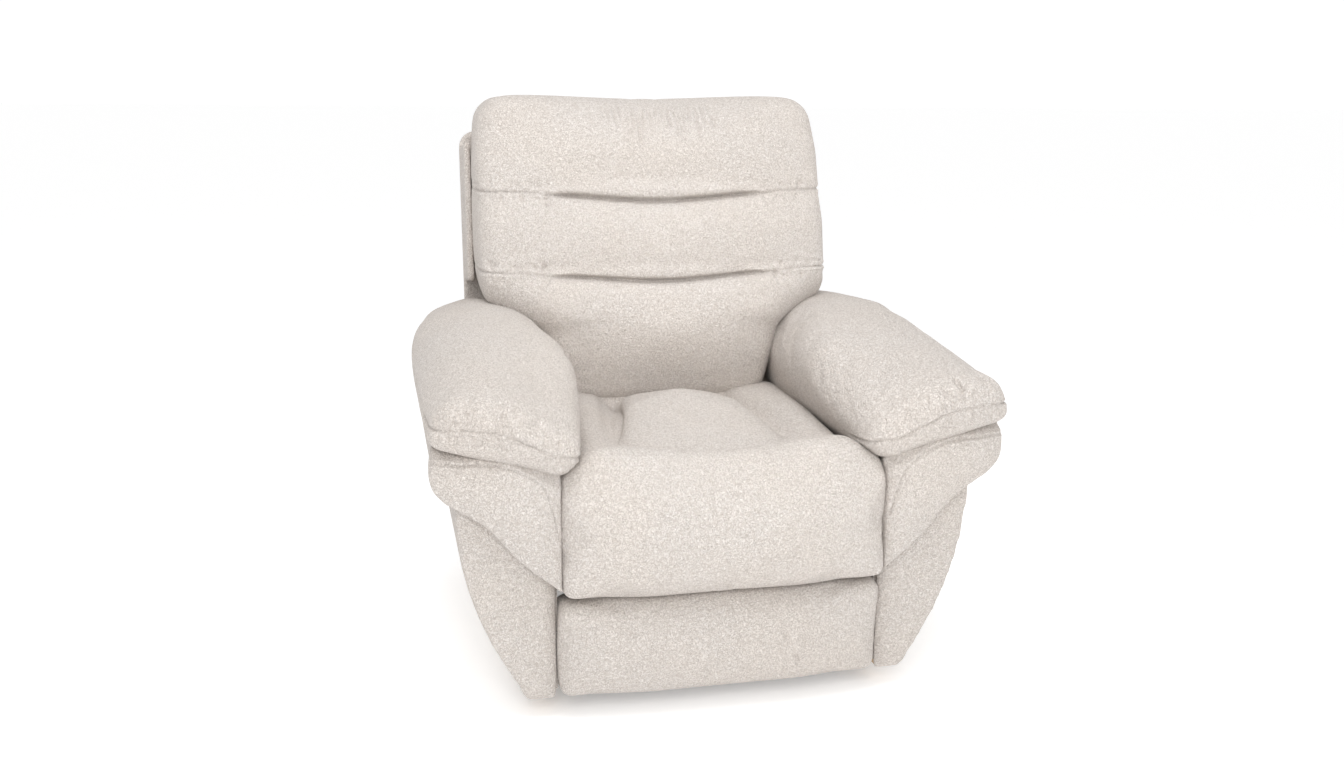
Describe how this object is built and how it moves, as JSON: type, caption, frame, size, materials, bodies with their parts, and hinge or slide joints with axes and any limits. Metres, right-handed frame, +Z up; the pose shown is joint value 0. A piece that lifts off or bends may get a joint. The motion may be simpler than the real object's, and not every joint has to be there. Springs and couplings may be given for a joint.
{
  "type": "recliner armchair",
  "caption": "Upholstered recliner armchair with a three-section pillow back, pillow-top arms, winged arm fronts and a padded chaise footrest that swings up from the seat.",
  "frame": {"origin": "middle of the chair's footprint box, on the floor", "axes": "+Z up, +X to the sitter's left, +Y to the rear, so the chair faces -Y"},
  "size_m": [1.001, 0.9502, 1.0646],
  "materials": {
    "upholstery": "cream boucle chenille",
    "timber": "sawn plywood and softwood",
    "black_steel": "black powder coat",
    "spring_steel": "oiled spring wire",
    "black_plastic": "moulded nylon",
    "webbing": "woven elastic webbing"
  },
  "bodies": {
    "base": {"glides": "black_plastic", "arm_base_board_left": "timber", "arm_base_board_right": "timber", "arm_inner_board_left": "timber", "arm_inner_board_right": "timber", "arm_top_board_left": "timber", "arm_top_board_right": "timber", "arm_formers_left": "timber", "arm_formers_right": "timber", "side_panel_left": "upholstery", "side_panel_right": "upholstery", "wing_bolster_left": "upholstery", "wing_bolster_right": "upholstery", "arm_pad_left": "upholstery", "arm_pad_right": "upholstery", "slide_track_left": "black_steel", "slide_track_right": "black_steel", "front_cross_tube": "black_steel", "rear_cross_tube": "black_steel", "rear_rail": "timber", "rear_skirt": "upholstery", "frame_bolts": "black_steel", "release_bezel": "black_plastic", "release_cable": "black_plastic"},
    "release": {"release_tab": "black_plastic"},
    "seat_carriage": {"seat_side_plate_left": "black_steel", "seat_side_plate_right": "black_steel", "slide_shoes": "black_plastic", "seat_side_rail_left": "timber", "seat_side_rail_right": "timber", "seat_front_rail": "timber", "seat_rear_rail": "timber", "seat_springs": "spring_steel", "seat_cushion": "upholstery"},
    "backrest": {"back_bracket_left": "black_steel", "back_bracket_right": "black_steel", "back_post_left": "timber", "back_post_right": "timber", "back_cross_rails": "timber", "back_webbing": "webbing", "back_shell": "upholstery", "pillow_lumbar": "upholstery", "pillow_middle": "upholstery", "pillow_head": "upholstery"},
    "back_link_l": {"back_link_left": "black_steel"},
    "back_link_r": {"back_link_right": "black_steel"},
    "calf_panel": {"calf_board": "timber", "calf_brackets": "black_steel", "calf_pad": "upholstery"},
    "footrest": {"footrest_board": "timber", "footrest_brackets": "black_steel", "footrest_pad": "upholstery"},
    "ottoman_links": {"ottoman_link_left": "black_steel", "ottoman_link_right": "black_steel", "ottoman_cross_tube": "black_steel"},
    "control_link_l": {"control_link_left": "black_steel"},
    "control_link_r": {"control_link_right": "black_steel"},
    "footrest_link_l": {"footrest_link_left": "black_steel"},
    "footrest_link_r": {"footrest_link_right": "black_steel"}
  },
  "joints": [
    {"name": "seat_slide", "type": "slide", "parent": "base", "child": "seat_carriage", "axis": [0, -1, 0], "range_m": [0, 0.0602]},
    {"name": "back_recline", "type": "hinge", "parent": "seat_carriage", "child": "backrest", "pos_m": [0, 0.27, 0.33], "axis": [-1, 0, 0], "range_deg": [0, 35]},
    {"name": "back_link_swing_l", "type": "hinge", "parent": "base", "child": "back_link_l", "pos_m": [0, 0.0985, 0.14], "axis": [1, 0, 0], "range_deg": [0, 21.95]},
    {"name": "back_link_swing_r", "type": "hinge", "parent": "base", "child": "back_link_r", "pos_m": [0, 0.0985, 0.14], "axis": [1, 0, 0], "range_deg": [0, 21.95]},
    {"name": "footrest_swing", "type": "hinge", "parent": "seat_carriage", "child": "calf_panel", "pos_m": [0, -0.395, 0.435], "axis": [-1, 0, 0], "range_deg": [0, 78]},
    {"name": "footrest_tilt", "type": "hinge", "parent": "calf_panel", "child": "footrest", "pos_m": [0, -0.35, 0.221], "axis": [-1, 0, 0], "range_deg": [0, 14.1]},
    {"name": "ottoman_link_swing", "type": "hinge", "parent": "seat_carriage", "child": "ottoman_links", "pos_m": [0, -0.333, 0.305], "axis": [-1, 0, 0], "range_deg": [0, 78.1]},
    {"name": "control_link_swing_l", "type": "hinge", "parent": "ottoman_links", "child": "control_link_l", "pos_m": [0, -0.281, 0.131], "axis": [1, 0, 0], "range_deg": [0, 78.1]},
    {"name": "control_link_swing_r", "type": "hinge", "parent": "ottoman_links", "child": "control_link_r", "pos_m": [0, -0.281, 0.131], "axis": [1, 0, 0], "range_deg": [0, 78.1]},
    {"name": "footrest_link_swing_l", "type": "hinge", "parent": "footrest", "child": "footrest_link_l", "pos_m": [0, -0.3152, 0.227], "axis": [1, 0, 0], "range_deg": [0, 24.55]},
    {"name": "footrest_link_swing_r", "type": "hinge", "parent": "footrest", "child": "footrest_link_r", "pos_m": [0, -0.3152, 0.227], "axis": [1, 0, 0], "range_deg": [0, 24.55]},
    {"name": "release_pull", "type": "slide", "parent": "base", "child": "release", "axis": [0, 0, 1], "range_m": [0, 0.014], "stiffness_N_per_m": 300, "springref_m": -0.004}
  ],
  "couplings": [
    {"joint": "seat_slide", "follows": "back_recline", "m_per_rad": 0.09822},
    {"joint": "back_link_swing_l", "follows": "back_recline", "ratio": 0.6243},
    {"joint": "back_link_swing_r", "follows": "back_recline", "ratio": 0.6243},
    {"joint": "footrest_tilt", "follows": "footrest_swing", "ratio": 0.1795},
    {"joint": "ottoman_link_swing", "follows": "footrest_swing", "ratio": 1},
    {"joint": "control_link_swing_l", "follows": "footrest_swing", "ratio": 1},
    {"joint": "control_link_swing_r", "follows": "footrest_swing", "ratio": 1},
    {"joint": "footrest_link_swing_l", "follows": "footrest_swing", "ratio": 0.3135},
    {"joint": "footrest_link_swing_r", "follows": "footrest_swing", "ratio": 0.3135}
  ]
}
